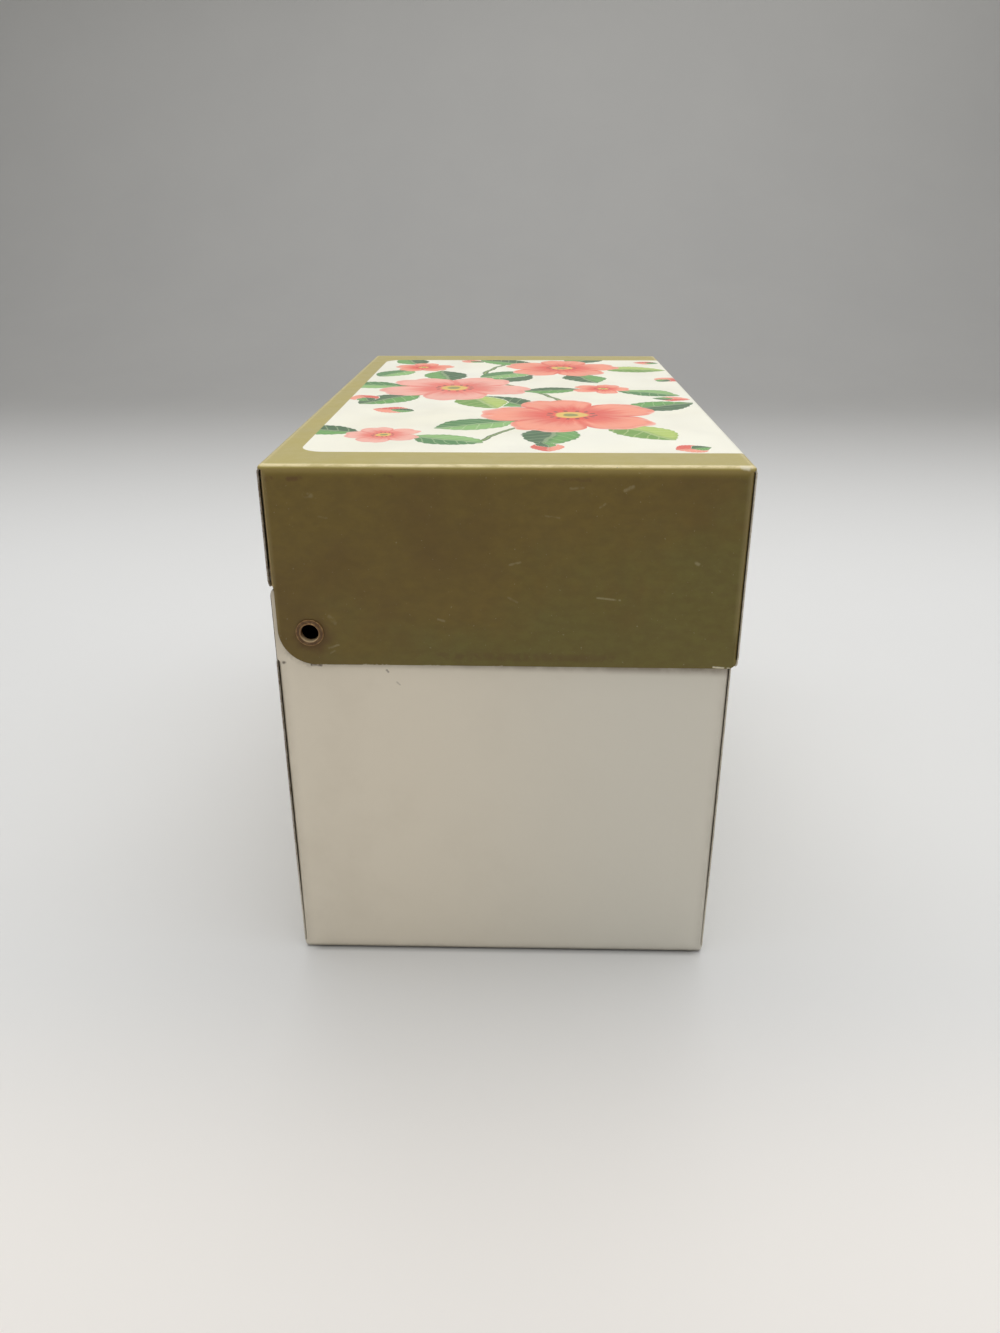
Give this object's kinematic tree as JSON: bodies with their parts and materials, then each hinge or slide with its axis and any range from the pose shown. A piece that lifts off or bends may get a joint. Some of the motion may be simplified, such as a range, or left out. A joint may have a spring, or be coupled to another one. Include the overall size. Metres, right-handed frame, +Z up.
{
  "type": "hinged recipe card tin",
  "caption": "Rectangular tinplate card box with a deep cream base and an olive lid that swings back on eyelet hinges.",
  "frame": {"origin": "centre of the closed tin's footprint, on the surface it stands on", "axes": "+Z up, X along the tin's length, -Y towards the front, +Y towards the hinge side"},
  "size_m": [0.1372, 0.0776, 0.094],
  "materials": {
    "cream_enamel": "satin cream enamel on tinplate, bare tin inside",
    "olive_print": null,
    "eyelet_brass": "tarnished brass"
  },
  "bodies": {
    "base": {"base_shell": "cream_enamel", "left_hinge_eyelet": "eyelet_brass", "right_hinge_eyelet": "eyelet_brass"},
    "lid": {"lid_shell": "olive_print"}
  },
  "joints": [
    {"name": "lid_hinge", "type": "hinge", "parent": "base", "child": "lid", "pos_m": [0, 0.03255, 0.066], "axis": [-1, 0, 0], "range_deg": [0, 102.5]}
  ]
}
